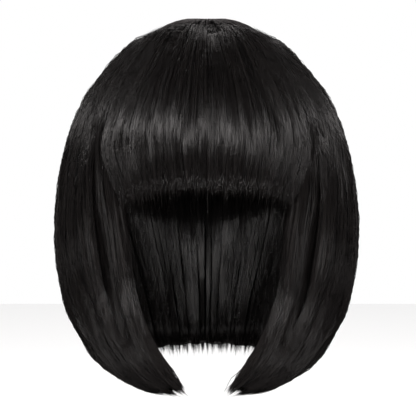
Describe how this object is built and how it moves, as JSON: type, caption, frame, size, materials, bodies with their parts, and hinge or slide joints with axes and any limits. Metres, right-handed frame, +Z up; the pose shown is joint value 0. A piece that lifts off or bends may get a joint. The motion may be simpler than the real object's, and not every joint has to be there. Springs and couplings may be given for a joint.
{
  "type": "bob wig",
  "caption": "Chin-length bob wig with a full straight fringe: panels of hair in locks round an open cap, parting at a crown whorl and leaning in to two tips beside the face.",
  "frame": {"origin": "where the crown of the wearer's head touches the inside of the cap", "axes": "+Z up along the wearer's neck and head, -Y the way the face looks, +X the wearer's left"},
  "size_m": [0.2111, 0.2183, 0.2621],
  "materials": {
    "hair": "glossy straight near-black hair fibre",
    "hair_roots": "near-black hair roots, slightly lighter and less glossy",
    "cap_net": "matt black stretch net"
  },
  "bodies": {
    "root": {"cap": "cap_net", "crown_whorl": "hair_roots", "fringe": "hair", "face_lock_left": "hair", "face_lock_right": "hair", "side_left": "hair", "side_right": "hair", "back": "hair"}
  },
  "joints": []
}
